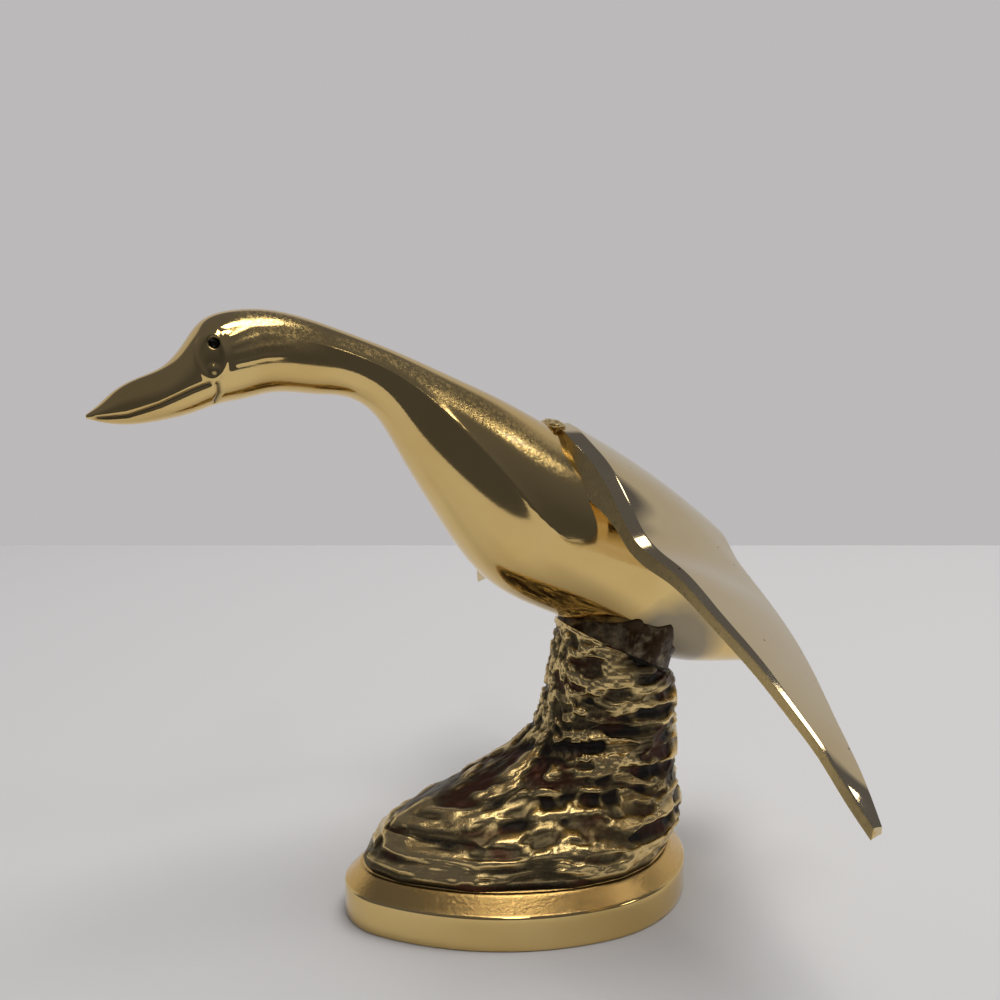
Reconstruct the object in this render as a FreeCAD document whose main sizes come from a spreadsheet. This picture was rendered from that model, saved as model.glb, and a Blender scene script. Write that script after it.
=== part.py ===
import FreeCAD, Part
import Sketcher
import math
import os
import sys
from FreeCAD import Placement, Rotation, Vector

os.makedirs("parts", exist_ok=True)

# Cast brass duck coming down with drooped wings, standing on a rock stump.
# Millimetres. The bill points to -X, the bird's left wing to -Y, +Z is up, and the
# origin is the middle of the flat underside of the base.
SIZES = {
    # base casting
    "base_length": 81.0,
    "base_width": 62.4,
    "toe_radius": 15.0,
    "band_height": 8.0,
    "band_edge": 0.5,
    "ledge_rise": 3.4,
    "ledge_inset": 3.6,
    "groove_depth": 1.2,
    "groove_rise": 1.8,
    "rock_relief": 1.3,
    "post_length": 30.0,
    "post_width": 27.4,
    "wall": 3.8,
    # bird casting
    "bill_reach": 89.4,
    "tail_reach": 68.0,
    "crown_height": 135.3,
    "bill_depth": 10.5,
    "bill_width": 9.0,
    "head_depth": 17.4,
    "head_width": 14.0,
    "neck_depth": 12.9,
    "neck_width": 11.4,
    "body_depth": 37.6,
    "body_width": 31.0,
    "tail_depth": 17.0,
    "tail_width": 21.0,
    # wings
    "half_span": 90.4,
    "tip_height": 49.2,
    "tip_set_back": 19.3,
    "tip_chord": 1.8,
    "wing_proud": 0.8,
    "rear_proud": 4.0,
    "wing_edge": 3.0,
    "wing_rear_edge": 1.2,
    "wing_seat": 7.0,
    # joints run with metal
    "solder_gap": 1.05,
    "solder_height": 5.6,
    "solder_step": 0.7,
    "solder_taper": 0.5,
    "braze_radius": 2.3,
    "nape_braze_length": 7.0,
    "nape_braze_width": 9.0,
    "nape_braze_depth": 4.0,
    "nape_braze_sink": 0.9,
}

doc = FreeCAD.newDocument("brass_duck")
sheet = doc.addObject("Spreadsheet::Sheet", "sizes")
for row, (alias, size) in enumerate(SIZES.items(), start=1):
    sheet.set(f"A{row}", alias)
    sheet.set(f"B{row}", str(size))
    sheet.setAlias(f"B{row}", alias)
doc.recompute()


class Measure:
    """A size as the text that binds it to the sheet, with its value today."""

    def __init__(self, text, number):
        self.text = str(text)
        self.number = float(number)

    def __add__(self, other):
        other = measure(other)
        return Measure(f"({self.text} + {other.text})", self.number + other.number)

    def __sub__(self, other):
        other = measure(other)
        return Measure(f"({self.text} - {other.text})", self.number - other.number)

    def __mul__(self, other):
        other = measure(other)
        return Measure(f"({self.text} * {other.text})", self.number * other.number)

    def __truediv__(self, other):
        other = measure(other)
        return Measure(f"({self.text} / {other.text})", self.number / other.number)

    def __neg__(self):
        return measure(0) - self


def measure(value):
    if isinstance(value, Measure):
        return value
    return Measure(repr(float(value)), value)


def named(alias):
    return Measure(f"sizes.{alias}", SIZES[alias])


def root(value):
    return Measure(f"sqrt({value.text})", math.sqrt(value.number))


def power(value, exponent):
    return Measure(f"pow({value.text}; {exponent})", value.number ** exponent)


def sine(degrees):
    degrees = measure(degrees)
    return Measure(f"sin({degrees.text} * 1 deg)", math.sin(math.radians(degrees.number)))


def cosine(degrees):
    degrees = measure(degrees)
    return Measure(f"cos({degrees.text} * 1 deg)", math.cos(math.radians(degrees.number)))


def slope_of(rise, run):
    """The slope in degrees of a rise over a run."""
    text = f"(atan({rise.text} / {run.text}) / 1 deg)"
    return Measure(text, math.degrees(math.atan(rise.number / run.number)))


def blend(start, end, share):
    return start + (end - start) * share


# Sketches


def origin_plane(body, role):
    return next(plane for plane in body.Origin.OriginFeatures if plane.Role == role)


def placed_sketch(body, name, role, base, axis=None, angle=None):
    """A sketch on an origin plane, moved by three measures and turned about one axis."""
    sketch = body.newObject("Sketcher::SketchObject", name)
    sketch.AttachmentSupport = [(origin_plane(body, role), "")]
    sketch.MapMode = "FlatFace"
    base = [measure(part) for part in base]
    turn = Rotation()
    if axis is not None:
        angle = measure(angle)
        turn = Rotation(axis, angle.number)
    sketch.AttachmentOffset = Placement(Vector(*(part.number for part in base)), turn)
    for letter, part in zip("xyz", base):
        sketch.setExpression(f"AttachmentOffset.Base.{letter}", part.text)
    if axis is not None:
        sketch.setExpression("AttachmentOffset.Rotation.Angle", angle.text)
    return sketch


def constrain(sketch, value, kind, *where):
    """Adds one driving size to a sketch and binds it."""
    index = sketch.addConstraint(Sketcher.Constraint(kind, *where, value.number))
    sketch.setExpression(f"Constraints[{index}]", value.text)


def fix_point(sketch, curve, end, place):
    constrain(sketch, place[0], "DistanceX", -1, 1, curve, end)
    constrain(sketch, place[1], "DistanceY", -1, 1, curve, end)


def join_ends(sketch, count):
    """Joins the end of each curve to the start of the next one, round to the first."""
    for place in range(count):
        after = place + 1 if place + 1 < count else 0
        sketch.addConstraint(Sketcher.Constraint("Coincident", place, 2, after, 1))


def arc_about(centre, start, end):
    """An arc about a centre, counter-clockwise from start to end."""
    middle, first, last = (Vector(at[0].number, at[1].number, 0) for at in (centre, start, end))
    circle = Part.Circle(middle, Vector(0, 0, 1), (first - middle).Length)
    begin = math.atan2(first.y - middle.y, first.x - middle.x)
    finish = math.atan2(last.y - middle.y, last.x - middle.x)
    return Part.ArcOfCircle(circle, begin, finish)


def four_arcs(sketch, corners, centres):
    """A closed outline of four arcs through four corners, counter-clockwise."""
    ends = corners[1:] + corners[:1]
    for centre, start, end in zip(centres, corners, ends):
        sketch.addGeometry(arc_about(centre, start, end), False)
    join_ends(sketch, len(corners))
    for place, (centre, start, end) in enumerate(zip(centres, corners, ends)):
        fix_point(sketch, place, 1, start)
        run = abs(end[0].number - start[0].number)
        rise = abs(end[1].number - start[1].number)
        if run > rise:
            constrain(sketch, centre[1], "DistanceY", -1, 1, place, 3)
        else:
            constrain(sketch, centre[0], "DistanceX", -1, 1, place, 3)


def oval(sketch, half_across, half_up):
    """A four-centred oval about the sketch's origin."""
    diagonal = root(half_across * half_across + half_up * half_up)
    spare = half_across + half_up - diagonal
    side_radius = diagonal * (diagonal - half_across) / spare
    end_radius = diagonal * (diagonal - half_up) / spare
    x = end_radius * half_up / diagonal
    y = side_radius * half_across / diagonal
    side = half_across - side_radius
    end = half_up - end_radius
    zero = measure(0)
    corners = [(x, -y), (x, y), (-x, y), (-x, -y)]
    four_arcs(sketch, corners, [(side, zero), (zero, end), (-side, zero), (zero, -end)])


def egg(sketch, front, rear, half_width, nose_radius):
    """An egg along X: a round rear end, a smaller round nose and two tangent sides."""
    centre = rear - half_width
    nose = front + nose_radius
    reach = centre - nose
    side_radius = (reach * reach / (half_width - nose_radius) + nose_radius + half_width) / 2
    slope = nose_radius / (side_radius - nose_radius)
    side = side_radius - half_width
    touch_x = nose + slope * (nose - centre)
    touch_y = slope * side
    zero = measure(0)
    corners = [(centre, -half_width), (centre, half_width), (touch_x, touch_y), (touch_x, -touch_y)]
    four_arcs(sketch, corners, [(centre, zero), (centre, -side), (nose, zero), (centre, side)])


def loft(body, kind, name, sections, ruled=False):
    feature = body.newObject(f"PartDesign::{kind}Loft", name)
    feature.Profile = sections[0]
    feature.Sections = sections[1:]
    feature.Ruled = ruled
    body.Tip = feature
    return feature


def cut(name, label, base, *tools):
    """Takes the tools' shapes off a base, so that the pieces meet face to face."""
    result = base
    for number, tool in enumerate(tools, start=1):
        step = doc.addObject("Part::Cut", f"{name}_{number}")
        step.Base = result
        step.Tool = tool
        result = step
    result.Label = label
    return result


# Bird casting: head, neck, trunk and tail as one loft of ovals along a bent spine

# name, reach, x share, z share, lean, depth, depth share, width, width share
BODY_STATION_SHARES = [
    ("bill_tip", "bill_reach", -1.0, 0.8545, 0, "bill_depth", 0.07, "bill_width", 0.09),
    ("bill_end", "bill_reach", -0.978, 0.8573, 0, "bill_depth", 0.27, "bill_width", 0.34),
    ("bill_nail", "bill_reach", -0.945, 0.8640, 0, "bill_depth", 0.57, "bill_width", 0.60),
    ("bill_middle", "bill_reach", -0.895, 0.8722, 0, "bill_depth", 0.83, "bill_width", 0.83),
    ("bill_root", "bill_reach", -0.832, 0.8832, 0, "bill_depth", 1.0, "bill_width", 1.0),
    ("cheek", "bill_reach", -0.783, 0.9017, -4, "head_depth", 0.78, "head_width", 0.76),
    ("brow", "bill_reach", -0.733, 0.9239, -7, "head_depth", 0.96, "head_width", 0.92),
    ("crown", "bill_reach", -0.669, 0.9335, -2, "head_depth", 1.01, "head_width", 1.0),
    ("poll", "bill_reach", -0.597, 0.9364, 1, "head_depth", 0.94, "head_width", 0.98),
    ("nape", "bill_reach", -0.498, 0.9246, 4, "neck_depth", 1.14, "neck_width", 1.10),
    ("neck", "bill_reach", -0.413, 0.9091, 15, "neck_depth", 0.98, "neck_width", 1.0),
    ("throat", "bill_reach", -0.317, 0.8773, 33, "neck_depth", 1.08, "neck_width", 1.12),
    ("breast_top", "bill_reach", -0.224, 0.8234, 37, "body_depth", 0.54, "body_width", 0.56),
    ("breast", "bill_reach", -0.123, 0.7576, 33, "body_depth", 0.75, "body_width", 0.76),
    ("shoulder", "tail_reach", 0.008, 0.6763, 27, "body_depth", 0.96, "body_width", 0.94),
    ("trunk", "tail_reach", 0.235, 0.6105, 26, "body_depth", 1.0, "body_width", 1.0),
    ("flank", "tail_reach", 0.459, 0.5440, 22, "body_depth", 0.945, "body_width", 0.98),
    ("rump", "tail_reach", 0.662, 0.4785, 16, "body_depth", 0.80, "body_width", 0.87),
    ("tail_cover", "tail_reach", 0.808, 0.4320, 13, "tail_depth", 1.22, "tail_width", 1.10),
    ("tail_root", "tail_reach", 0.921, 0.3970, 9, "tail_depth", 0.72, "tail_width", 0.97),
    ("tail_tip", "tail_reach", 1.0, 0.3730, 5, "tail_depth", 0.29, "tail_width", 0.86),
]


def station(name):
    """Centre x and z, lean, half depth and half width of one station of the bird."""
    row = next(row for row in BODY_STATION_SHARES if row[0] == name)
    _, reach, x_share, z_share, lean, depth, depth_share, width, width_share = row
    x = named(reach) * x_share
    z = named("crown_height") * z_share
    return x, z, lean, named(depth) * depth_share / 2, named(width) * width_share / 2


def ridge(name):
    """The top point of one station of the bird."""
    x, z, lean, half_depth, _ = station(name)
    return x + half_depth * sine(lean), z + half_depth * cosine(lean)


def keel(name):
    """The lowest point of one station of the bird."""
    x, z, lean, half_depth, _ = station(name)
    return x - half_depth * sine(lean), z - half_depth * cosine(lean)


def make_bird():
    body = doc.addObject("PartDesign::Body", "bird_casting")
    sections = []
    for row in BODY_STATION_SHARES:
        x, z, lean, half_depth, half_width = station(row[0])
        sketch = placed_sketch(
            body, f"{row[0]}_section", "YZ_Plane", (0, z, x), Vector(1, 0, 0), lean
        )
        oval(sketch, half_width, half_depth)
        sections.append(sketch)
    loft(body, "Additive", "bird_loft", sections)
    body.Label = "bird_body"
    return body


# Base casting: polished foot band, sloped ledge, rock mound and post, hollow below

# height share from the rock's start to the post's rim, then shares from the foot's
# outline to the post's: front, rear and half width, and how sharp the nose is
ROCK_PROFILE_SHARES = [
    (0.130, 0.140, 0.0, 0.267, 2.4),
    (0.252, 0.200, 0.0, 0.509, 2.7),
    (0.334, 0.345, 0.0, 0.695, 2.7),
    (0.415, 0.515, 0.0, 0.802, 2.5),
    (0.510, 0.700, 0.0, 0.874, 2.3),
    (0.605, 0.865, 0.0, 0.900, 2.0),
    (0.727, 0.935, 0.1, 0.918, 2.0),
    (0.890, 0.967, 0.4, 0.936, 2.0),
    (0.970, 0.981, 1.0, 0.954, 2.0),
]

# way each chiselled face looks, in degrees from the rear, and its share of the relief
ROCK_FACE_SHARES = [
    (10, 1.0), (30, 1.0), (50, 1.0), (70, 1.0), (90, 1.0),
    (108, 1.0), (128, 0.6), (150, 0.15), (172, 0.0),
]
FOOT_NOSE_SHARE = 2.5
POST_NOSE_SHARE = 2.0
ROCK_LAYERS = 19
CARVED_RUN = 2


def rock_corners(front, rear, half_width, nose, relief=0, layer=0):
    """Half of a level's outline, as the corners between faces that keep their ways.

    Behind its widest place the outline touches a circle, before it a longer oval. Pairs
    of faces are cut back by turns, so that each layer of the rock breaks up.
    """
    middle = rear - half_width
    reach = middle - front
    faces = []
    for number, (way, share) in enumerate(ROCK_FACE_SHARES):
        along, across = math.cos(math.radians(way)), math.sin(math.radians(way))
        offset = half_width
        if way > 90:
            bow = power(reach * -along, nose) + power(half_width * across, nose)
            offset = power(bow, 1 / nose)
        if relief and (number + layer) // CARVED_RUN % 2:
            offset = offset - relief * share
        faces.append((along, across, middle * along + offset))
    rear_along, _, rear_offset = faces[0]
    nose_along, _, nose_offset = faces[-1]
    corners = [(rear_offset / rear_along, measure(0))]
    for (along, across, offset), (next_along, next_across, next_offset) in zip(faces, faces[1:]):
        turn = along * next_across - across * next_along
        x = offset * (next_across / turn) - next_offset * (across / turn)
        y = next_offset * (along / turn) - offset * (next_along / turn)
        corners.append((x, y))
    corners.append((nose_offset / nose_along, measure(0)))
    return corners


def corner_outline(sketch, corners):
    """A closed outline through half a level's corners and their mirror images."""
    middle = [Vector(x.number, y.number, 0) for x, y in corners]
    points = middle + [Vector(point.x, -point.y, 0) for point in middle[-2:0:-1]]
    for start, end in zip(points, points[1:] + points[:1]):
        sketch.addGeometry(Part.LineSegment(start, end), False)
    join_ends(sketch, len(points))
    for place, corner in enumerate(corners):
        fix_point(sketch, place, 1, corner)
        if 0 < place < len(corners) - 1:
            twin = len(points) - place
            sketch.addConstraint(Sketcher.Constraint("Symmetric", place, 1, twin, 1, -1))


def post_place():
    """Centre x and z and slope of the post's rim, which follows the belly over it."""
    trunk_x, trunk_z = keel("trunk")
    x, z = keel("flank")
    return x, z - named("solder_gap"), slope_of(trunk_z - z, x - trunk_x)


def ledge_top():
    return named("band_height") + named("ledge_rise")


def rock_level(body, name, shares, inset, layer=None):
    """One level of the rock, or of the cored hollow that follows it a wall inside."""
    height, front, rear, width, nose = shares
    half_length, half_width = named("base_length") / 2, named("base_width") / 2
    half_post = named("post_length") / 2
    post_x, post_z, slope = post_place()
    start = ledge_top() + named("groove_rise")
    z = blend(start, post_z - half_post * sine(slope), height) - inset
    sketch = placed_sketch(body, name, "XY_Plane", (0, 0, z))
    corners = rock_corners(
        blend(-half_length, post_x - half_post, front) + inset,
        blend(half_length, post_x + half_post, rear) - inset,
        blend(half_width, named("post_width") / 2, width) - inset,
        nose,
        named("rock_relief") if layer is not None and layer % 2 else 0,
        layer // 2 if layer is not None else 0,
    )
    corner_outline(sketch, corners)
    return sketch


def layer_shares(layer):
    """The rock's profile between its first and last rows, at one of its even layers."""
    first, last = ROCK_PROFILE_SHARES[0][0], ROCK_PROFILE_SHARES[-1][0]
    height = first + (last - first) * layer / (ROCK_LAYERS - 1)
    lower, upper = next(
        pair for pair in zip(ROCK_PROFILE_SHARES, ROCK_PROFILE_SHARES[1:])
        if height <= pair[1][0] or pair[1] is ROCK_PROFILE_SHARES[-1]
    )
    part = (height - lower[0]) / (upper[0] - lower[0])
    return [low + (high - low) * part for low, high in zip(lower, upper)]


def foot_level(body, name, height, inset):
    """A level of the rock or hollow that keeps the foot band's outline."""
    half_length, half_width = named("base_length") / 2, named("base_width") / 2
    sketch = placed_sketch(body, name, "XY_Plane", (0, 0, height))
    corner_outline(sketch, rock_corners(
        inset - half_length, half_length - inset, half_width - inset, FOOT_NOSE_SHARE
    ))
    return sketch


def base_outline(body, name, height, inset):
    half_length = named("base_length") / 2
    sketch = placed_sketch(body, name, "XY_Plane", (0, 0, height))
    egg(
        sketch,
        inset - half_length,
        half_length - inset,
        named("base_width") / 2 - inset,
        named("toe_radius") - inset,
    )
    return sketch


def rim_plane(body, name, lift):
    """A sketch on the sloped plane of the post's rim, lifted square to that plane."""
    x, z, slope = post_place()
    base = (x + lift * sine(slope), 0, z + lift * cosine(slope))
    return placed_sketch(body, name, "XY_Plane", base, Vector(0, 1, 0), slope)


def make_base():
    body = doc.addObject("PartDesign::Body", "base_casting")
    foot = base_outline(body, "foot_outline", 0, measure(0))
    band = body.newObject("PartDesign::Pad", "foot_band")
    band.Profile = foot
    band.setExpression("Length", "sizes.band_height")
    body.Tip = band
    ledge = [
        base_outline(body, "ledge_foot", named("band_height"), named("band_edge")),
        base_outline(body, "ledge_crest", ledge_top(), named("ledge_inset")),
    ]
    loft(body, "Additive", "sloped_ledge", ledge)
    groove = named("ledge_inset") + named("groove_depth")
    rock_start = ledge_top() + named("groove_rise")
    rock = [
        foot_level(body, "groove_floor", ledge_top(), groove),
        foot_level(body, "rock_foot", rock_start, named("ledge_inset")),
    ]
    for layer in range(ROCK_LAYERS):
        shares = layer_shares(layer)
        rock.append(rock_level(body, f"rock_layer_{layer}", shares, measure(0), layer))
    rim = rim_plane(body, "post_rim", measure(0))
    half_post = named("post_length") / 2
    half_width = named("post_width") / 2
    corner_outline(rim, rock_corners(-half_post, half_post, half_width, POST_NOSE_SHARE))
    rock.append(rim)
    loft(body, "Additive", "rock_loft", rock, ruled=True)
    wall = named("wall")
    hollow = [
        foot_level(body, "hollow_mouth", measure(0), wall),
        foot_level(body, "hollow_ledge", ledge_top() - wall, groove + wall),
    ]
    for number, shares in enumerate(ROCK_PROFILE_SHARES[1:-1:2], start=1):
        hollow.append(rock_level(body, f"hollow_{number}", shares, wall))
    loft(body, "Subtractive", "cored_hollow", hollow, ruled=True)
    body.Label = "rock_base"
    return body


def make_post_solder():
    """The solder bed between the post and the belly, run up the belly's sides."""
    body = doc.addObject("PartDesign::Body", "solder_bed")
    bed = []
    for name, inset, lift in (
        ("bed_foot", named("solder_step"), measure(0)),
        ("bed_top", named("solder_step") + named("solder_taper"), named("solder_height")),
    ):
        sketch = rim_plane(body, name, lift)
        oval(sketch, named("post_length") / 2 - inset, named("post_width") / 2 - inset)
        bed.append(sketch)
    loft(body, "Additive", "bed_loft", bed)
    return body


# Wings: tapered cast plates, each laid over its half of the back and drooped to the tip

# name, out share, front x and z shares, rear x and z shares, front and rear plate shares
WING_RIB_SHARES = [
    ("centre_rib", 0.0, 0.0, 0.0, 0.0, 0.0, None, None),
    ("saddle_rib", 0.055, 0.026, 0.017, 0.020, 0.018, None, None),
    ("back_rib", 0.111, 0.060, 0.058, 0.056, 0.064, None, None),
    ("shoulder_rib", 0.155, 0.197, 0.131, 0.085, 0.134, None, 1.25),
    ("root_rib", 0.199, 0.337, 0.250, 0.100, 0.194, 1.45, 1.2),
    ("inner_rib", 0.243, 0.400, 0.341, 0.105, 0.247, 1.1, 1.15),
    ("arm_rib", 0.365, 0.575, 0.440, 0.190, 0.346, 0.90, 1.1),
    ("wrist_rib", 0.498, 0.689, 0.538, 0.335, 0.438, 0.74, 1.1),
    ("hand_rib", 0.664, 0.782, 0.652, 0.580, 0.555, 0.76, 1.1),
    ("outer_rib", 0.796, 0.813, 0.750, 0.800, 0.654, 0.70, 1.1),
    ("feather_rib", 0.885, 0.834, 0.823, 0.915, 0.749, 0.70, 1.1),
    ("droop_rib", 0.951, 0.891, 0.908, 0.985, 0.855, 0.78, 1.1),
    ("tip_rib", 1.0, 1.0, 1.0, 1.0, 1.0, 0.73, 1.1),
]


EDGE_RAKE_SHARE = 0.2
CAMBER_DEGREES = 22


def rib(sketch, front_top, rear_top, front_depth, rear_depth):
    """A cambered plate section: two bowed faces, a filed front edge and a rear edge."""
    front_bottom = (front_top[0] - front_depth * EDGE_RAKE_SHARE, front_top[1] - front_depth)
    rear_bottom = (rear_top[0], rear_top[1] - rear_depth)
    points = [front_top, rear_top, rear_bottom, front_bottom]
    d, c, b, a = (Vector(x.number, z.number, 0) for x, z in points)
    for start, end in ((c, d), (b, a)):
        chord = end - start
        rise = Vector(chord.y, -chord.x, 0) * math.tan(math.radians(CAMBER_DEGREES / 4)) / 2
        middle = (start + end) / 2 + rise
        sketch.addGeometry(Part.Arc(start, middle, end), False)
    sketch.addGeometry(Part.LineSegment(d, a), False)
    sketch.addGeometry(Part.LineSegment(b, c), False)
    for first, its_end, second, other_end in ((0, 2, 2, 1), (2, 2, 1, 2), (1, 1, 3, 1), (3, 2, 0, 1)):
        sketch.addConstraint(
            Sketcher.Constraint("Coincident", first, its_end, second, other_end)
        )
    fix_point(sketch, 0, 1, rear_top)
    fix_point(sketch, 0, 2, front_top)
    fix_point(sketch, 1, 1, rear_bottom)
    fix_point(sketch, 1, 2, front_bottom)
    for arc in (0, 1):
        angle = math.radians(CAMBER_DEGREES)
        sketch.addConstraint(Sketcher.Constraint("Angle", arc, angle))


def wing_roots():
    """The wing's front and rear top corners on the bird's centre line."""
    front, rear = ridge("shoulder"), ridge("rump")
    return (
        (front[0], front[1] + named("wing_proud")),
        (rear[0], rear[1] + named("rear_proud")),
    )


def make_wing():
    body = doc.addObject("PartDesign::Body", "wing_casting")
    front_root, rear_root = wing_roots()
    front_tip = (front_root[0] + named("tip_set_back"), named("tip_height"))
    rear_tip = (front_tip[0] + named("tip_chord"), named("tip_height"))
    sections = []
    for name, out, front_x, front_z, rear_x, rear_z, front_plate, rear_plate in WING_RIB_SHARES:
        sketch = placed_sketch(body, name, "XZ_Plane", (0, 0, named("half_span") * out))
        front = (
            blend(front_root[0], front_tip[0], front_x),
            blend(front_root[1], front_tip[1], front_z),
        )
        rear = (
            blend(rear_root[0], rear_tip[0], rear_x),
            blend(rear_root[1], rear_tip[1], rear_z),
        )
        front_depth, rear_depth = named("wing_seat"), named("wing_seat")
        if front_plate is not None:
            front_depth = named("wing_edge") * front_plate
        if rear_plate is not None:
            rear_depth = named("wing_rear_edge") * rear_plate
        rib(sketch, front, rear, front_depth, rear_depth)
        sections.append(sketch)
    loft(body, "Additive", "wing_loft", sections)
    return body


# Metal run into the joints: a bead under each wing root and a rough nub at the nape

# name, share along the root, out share of the half body width, drop share, radius share
BEAD_STATION_SHARES = [
    ("bead_front", 0.135, 0.925, 0.620, 0.55),
    ("bead_shoulder", 0.250, 0.885, 0.672, 0.95),
    ("bead_middle", 0.426, 0.845, 0.765, 1.0),
    ("bead_back", 0.574, 0.806, 0.882, 1.0),
    ("bead_loin", 0.720, 0.742, 1.024, 0.95),
    ("bead_rear", 0.830, 0.695, 1.160, 0.55),
]


def make_wing_bead():
    body = doc.addObject("PartDesign::Body", "braze_bead")
    front, rear = wing_roots()
    sections = []
    for name, along, out, drop, radius in BEAD_STATION_SHARES:
        x = blend(front[0], rear[0], along)
        y = -named("body_width") / 2 * out
        z = blend(front[1], rear[1], drop)
        sketch = placed_sketch(body, name, "YZ_Plane", (y, z, x))
        round_size = named("braze_radius") * radius
        sketch.addGeometry(Part.Circle(Vector(), Vector(0, 0, 1), round_size.number), False)
        sketch.addConstraint(Sketcher.Constraint("Coincident", 0, 3, -1, 1))
        constrain(sketch, round_size, "Radius", 0)
        sections.append(sketch)
    loft(body, "Additive", "bead_loft", sections)
    return body


def make_nape_nub():
    nub = doc.addObject("Part::Ellipsoid", "braze_nub")
    radii = {"Radius1": "depth", "Radius2": "length", "Radius3": "width"}
    for radius, side in radii.items():
        nub.setExpression(radius, f"sizes.nape_braze_{side} / 2")
    x, z = ridge("shoulder")
    z = z - named("nape_braze_sink")
    slope = station("shoulder")[2]
    nub.Placement = Placement(Vector(x.number, 0, z.number), Rotation(Vector(0, 1, 0), slope))
    nub.setExpression("Placement.Base.x", x.text)
    nub.setExpression("Placement.Base.z", z.text)
    return nub


def mirrored(name, label, source):
    twin = doc.addObject("Part::Mirroring", name)
    twin.Source = source
    twin.Normal = Vector(0, 1, 0)
    twin.Label = label
    return twin


bird = make_bird()
rock = make_base()
left_wing = cut("left_wing_cut", "left_wing", make_wing(), bird)
right_wing = mirrored("right_wing_mirror", "right_wing", left_wing)
solder = cut("solder_cut", "post_solder", make_post_solder(), bird)
left_bead = cut("left_bead_cut", "left_wing_braze", make_wing_bead(), bird, left_wing)
right_bead = mirrored("right_bead_mirror", "right_wing_braze", left_bead)
nub = cut("nub_cut", "nape_braze", make_nape_nub(), bird, left_wing, right_wing)
doc.recompute()

pieces = [bird, rock, left_wing, right_wing, solder, left_bead, right_bead, nub]
for item in doc.Objects:
    if "Invalid" in item.State or "Error" in item.State:
        sys.exit(f"{item.Name} failed: {item.State}")
for piece in pieces:
    shape = piece.Shape
    if shape.isNull() or not shape.isValid() or len(shape.Solids) != 1:
        sys.exit(f"{piece.Label} is not one valid solid")
for piece in pieces:
    piece.Shape.exportStep(f"parts/{piece.Label}.step")
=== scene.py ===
import math

import bpy
import numpy as np
from mathutils import Euler, Matrix, Vector
from mathutils.bvhtree import BVHTree


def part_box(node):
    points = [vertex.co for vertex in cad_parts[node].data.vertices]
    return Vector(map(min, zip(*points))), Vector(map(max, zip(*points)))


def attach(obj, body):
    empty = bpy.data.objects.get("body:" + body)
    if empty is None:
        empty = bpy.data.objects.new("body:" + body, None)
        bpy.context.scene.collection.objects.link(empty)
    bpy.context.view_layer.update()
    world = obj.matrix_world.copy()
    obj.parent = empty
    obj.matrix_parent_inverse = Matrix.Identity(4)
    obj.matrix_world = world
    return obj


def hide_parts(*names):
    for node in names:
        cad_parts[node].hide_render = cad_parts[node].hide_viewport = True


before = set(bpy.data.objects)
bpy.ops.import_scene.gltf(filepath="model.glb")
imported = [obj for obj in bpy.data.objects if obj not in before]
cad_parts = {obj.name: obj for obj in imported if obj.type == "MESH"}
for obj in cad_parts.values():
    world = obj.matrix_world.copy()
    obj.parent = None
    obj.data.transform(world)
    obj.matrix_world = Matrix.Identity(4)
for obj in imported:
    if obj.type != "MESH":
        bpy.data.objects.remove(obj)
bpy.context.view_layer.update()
mm = 0.001

# Brass duck with drooped wings on a rock stump. Metres, bill to -X, left wing to -Y.


# Small tools


def linearHex(code):
    channels = [int(code[i:i + 2], 16) / 255 for i in (1, 3, 5)]
    return [c / 12.92 if c <= 0.04045 else ((c + 0.055) / 1.055) ** 2.4 for c in channels] + [1.0]


def smoothStep(low, high, value):
    t = np.clip((value - low) / (high - low), 0, 1)
    return t * t * (3 - 2 * t)


def plateau(value, steps):
    # rises between the first two steps and falls between the last two
    start, full, fade, stop = steps
    return smoothStep(start, full, value) * smoothStep(stop, fade, value)


def bell(distance, width):
    # 1 at no distance, fading out beyond the width
    return np.exp(-(distance / width) ** 2)


def cubicThrough(knots, values, at):
    # a natural cubic through the rows of values
    knots, values, at = np.asarray(knots, float), np.asarray(values, float), np.asarray(at, float)
    n = len(knots)
    gap = np.diff(knots)
    system, right = np.eye(n), np.zeros((n, values.shape[1]))
    for i in range(1, n - 1):
        system[i, i - 1:i + 2] = gap[i - 1], 2 * (gap[i - 1] + gap[i]), gap[i]
        slopes = (values[i + 1] - values[i]) / gap[i] - (values[i] - values[i - 1]) / gap[i - 1]
        right[i] = 6 * slopes
    bend = np.linalg.solve(system, right)
    cell = np.clip(np.searchsorted(knots, at) - 1, 0, n - 2)
    h = gap[cell][:, None]
    a = (knots[cell + 1] - at)[:, None] / h
    b = 1 - a
    cubicPart = ((a ** 3 - a) * bend[cell] + (b ** 3 - b) * bend[cell + 1]) * h * h / 6
    return a * values[cell] + b * values[cell + 1] + cubicPart


# large odd numbers that scatter the cells of a lattice
scatter = {"axes": np.array([374761393, 668265263, 2147483647]), "seed": 974634777, "mix": 1274126177}


def latticeNoise(points, seed):
    # smooth value noise between -1 and 1, one lattice cell per unit
    cell = np.floor(points).astype(np.int64)
    part = points - cell
    part = part * part * part * (part * (part * 6 - 15) + 10)
    total = np.zeros(points.shape[:-1])
    for corner in range(8):
        step = np.array([corner & 1, corner >> 1 & 1, corner >> 2 & 1])
        mix = ((cell + step) * scatter["axes"]).sum(axis=-1)
        mix = (mix + seed * scatter["seed"]) & 0xFFFFFFFF
        mix = ((mix ^ (mix >> 13)) * scatter["mix"]) & 0xFFFFFFFF
        mix = (mix ^ (mix >> 16)) & 0xFFFF
        weight = np.prod(np.where(step, part, 1 - part), axis=-1)
        total += weight * (mix / 32767.5 - 1)
    return total


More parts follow.
